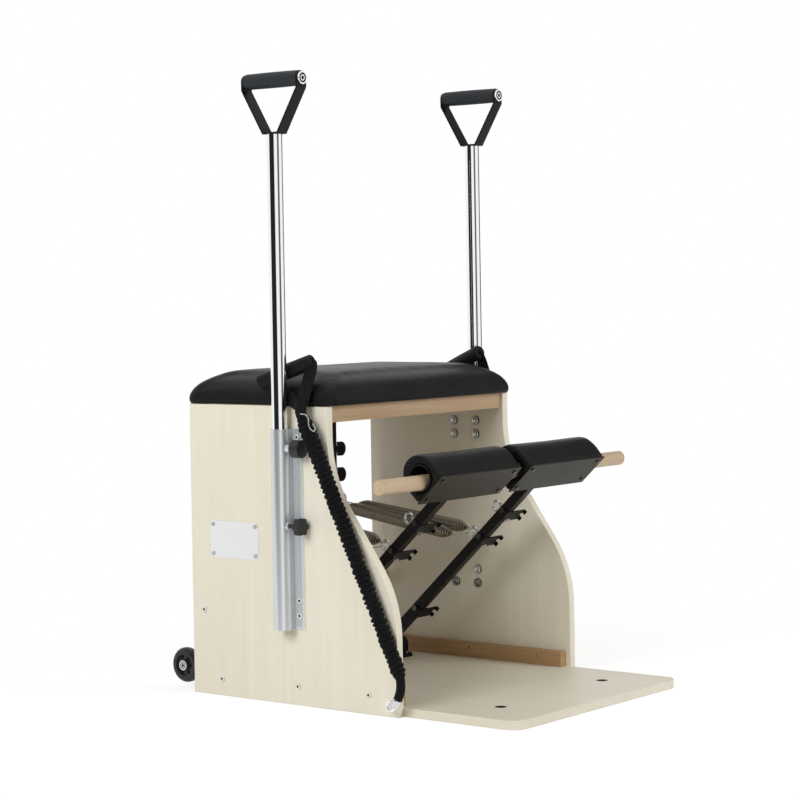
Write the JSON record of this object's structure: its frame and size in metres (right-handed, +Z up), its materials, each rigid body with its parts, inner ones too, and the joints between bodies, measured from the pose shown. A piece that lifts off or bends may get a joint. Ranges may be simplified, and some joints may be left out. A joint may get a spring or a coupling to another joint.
{
  "type": "pilates chair",
  "caption": "Wooden pilates chair with padded seat, coupled sprung pedals joined by a dowel, height adjustable push poles, elastic strap handles and transport wheels.",
  "frame": {"origin": "middle of the base board's underside, on the floor", "axes": "+Z up, -Y towards the front where the pedals are, +X towards the panel on the right as seen from the front"},
  "size_m": [0.828, 0.8905, 1.266],
  "materials": {
    "laminate": "satin wood-grain laminate",
    "pine": "oiled pine",
    "beech": "turned and lacquered",
    "leatherette": "satin leatherette over foam",
    "black_steel": "black powder coat",
    "plate_steel": "satin, dark",
    "chrome": "mirror plated",
    "zinc": "bright zinc plate",
    "spring_steel": "oiled spring wire",
    "socket_aluminium": "satin anodised",
    "foam": "fine closed cell foam",
    "webbing": "woven webbing and elastic sleeve",
    "black_plastic": "moulded",
    "wheel_rubber": "cast polyurethane",
    "bush_plastic": "plain nylon"
  },
  "bodies": {
    "chair": {"left_panel": "laminate", "right_panel": "laminate", "base_board": "laminate", "front_seat_rail": "pine", "rear_seat_rail": "pine", "rear_cross_rail": "pine", "base_cleats": "pine", "seat_board": "pine", "seat_cushion": "leatherette", "spring_posts": "black_steel", "panel_bolts": "zinc", "socket_washers": "black_plastic", "nameplate": "socket_aluminium", "wood_screws": "zinc", "board_inserts": "black_plastic", "pedal_axle": "zinc", "axle_blocks": "black_steel", "axle_bushes": "bush_plastic", "left_pole_socket": "socket_aluminium", "right_pole_socket": "socket_aluminium", "wheel_plates": "black_steel", "wheel_axles": "zinc", "left_bungee": "webbing", "right_bungee": "webbing", "handle_straps": "webbing", "strap_grips": "foam", "bungee_rings": "chrome"},
    "dowel": {"connecting_dowel": "beech"},
    "left_pedal": {"left_arm": "black_steel", "left_brackets": "black_steel", "left_eye_bolts": "chrome", "left_pad": "leatherette", "left_pad_plate": "plate_steel", "left_pedal_screws": "zinc"},
    "left_spring_rear": {"left_springs": "spring_steel", "left_spring_loops": "chrome"},
    "left_spring_front": {"left_spring_hooks": "chrome"},
    "left_pole_set": {"left_pole": "chrome", "left_handle_frame": "black_steel", "left_handle_grip": "foam", "left_handle_caps": "chrome"},
    "left_pull_knob": {"left_plunger": "black_plastic"},
    "left_star_knob": {"left_clamp_knob": "black_plastic"},
    "left_wheel_set": {"left_wheel": "wheel_rubber"},
    "right_pedal": {"right_arm": "black_steel", "right_brackets": "black_steel", "right_eye_bolts": "chrome", "right_pad": "leatherette", "right_pad_plate": "plate_steel", "right_pedal_screws": "zinc"},
    "right_spring_rear": {"right_springs": "spring_steel", "right_spring_loops": "chrome"},
    "right_spring_front": {"right_spring_hooks": "chrome"},
    "right_pole_set": {"right_pole": "chrome", "right_handle_frame": "black_steel", "right_handle_grip": "foam", "right_handle_caps": "chrome"},
    "right_pull_knob": {"right_plunger": "black_plastic"},
    "right_star_knob": {"right_clamp_knob": "black_plastic"},
    "right_wheel_set": {"right_wheel": "wheel_rubber"}
  },
  "joints": [
    {"name": "left_pedal_press", "type": "hinge", "parent": "chair", "child": "left_pedal", "pos_m": [-0.1495, 0.267, 0.045], "axis": [1, 0, 0], "range_deg": [0, 38], "stiffness_Nm_per_rad": 80, "springref_deg": -22.92},
    {"name": "left_spring_swing", "type": "hinge", "parent": "chair", "child": "left_spring_rear", "pos_m": [-0.123, 0.3818, 0.363], "axis": [1, 0, 0], "range_deg": [0, 21.2]},
    {"name": "left_spring_stretch", "type": "slide", "parent": "left_spring_rear", "child": "left_spring_front", "axis": [0, -0.9903, -0.1391], "range_m": [0, 0.1827], "deforming": ["left_springs", "left_spring_hooks"]},
    {"name": "left_pole_lift", "type": "slide", "parent": "chair", "child": "left_pole_set", "axis": [0, 0, 1], "range_m": [0, 0.09]},
    {"name": "left_plunger_pull", "type": "slide", "parent": "chair", "child": "left_pull_knob", "axis": [0, -1, 0], "range_m": [0, 0.006], "stiffness_N_per_m": 1500, "springref_m": -0.004},
    {"name": "left_clamp_turn", "type": "hinge", "parent": "chair", "child": "left_star_knob", "pos_m": [-0.3294, 0.086, 0.362], "axis": [0, 1, 0], "range_deg": [0, 360]},
    {"name": "left_wheel_roll", "type": "hinge", "parent": "chair", "child": "left_wheel_set", "pos_m": [-0.28, 0.449, 0.0495], "axis": [1, 0, 0], "continuous": true},
    {"name": "right_pedal_press", "type": "hinge", "parent": "chair", "child": "right_pedal", "pos_m": [0.1495, 0.267, 0.045], "axis": [1, 0, 0], "range_deg": [0, 38], "stiffness_Nm_per_rad": 80, "springref_deg": -22.92},
    {"name": "right_spring_swing", "type": "hinge", "parent": "chair", "child": "right_spring_rear", "pos_m": [0.123, 0.3818, 0.363], "axis": [1, 0, 0], "range_deg": [0, 21.2]},
    {"name": "right_spring_stretch", "type": "slide", "parent": "right_spring_rear", "child": "right_spring_front", "axis": [0, -0.9903, -0.1391], "range_m": [0, 0.1827], "deforming": ["right_springs", "right_spring_hooks"]},
    {"name": "right_pole_lift", "type": "slide", "parent": "chair", "child": "right_pole_set", "axis": [0, 0, 1], "range_m": [0, 0.09]},
    {"name": "right_plunger_pull", "type": "slide", "parent": "chair", "child": "right_pull_knob", "axis": [0, -1, 0], "range_m": [0, 0.006], "stiffness_N_per_m": 1500, "springref_m": -0.004},
    {"name": "right_clamp_turn", "type": "hinge", "parent": "chair", "child": "right_star_knob", "pos_m": [0.3294, 0.086, 0.362], "axis": [0, 1, 0], "range_deg": [0, 360]},
    {"name": "right_wheel_roll", "type": "hinge", "parent": "chair", "child": "right_wheel_set", "pos_m": [0.28, 0.449, 0.0495], "axis": [1, 0, 0], "continuous": true},
    {"name": "dowel_slide", "type": "slide", "parent": "left_pedal", "child": "dowel", "axis": [1, 0, 0], "range_m": [-0.4, 0.4]}
  ],
  "couplings": [
    {"joint": "left_spring_swing", "follows": "left_pedal_press", "ratio": 0.5525},
    {"joint": "left_spring_stretch", "follows": "left_pedal_press", "m_per_rad": 0.274},
    {"joint": "right_spring_swing", "follows": "left_pedal_press", "ratio": 0.5525},
    {"joint": "right_spring_stretch", "follows": "left_pedal_press", "m_per_rad": 0.274},
    {"joint": "right_pedal_press", "follows": "left_pedal_press", "ratio": 1}
  ]
}
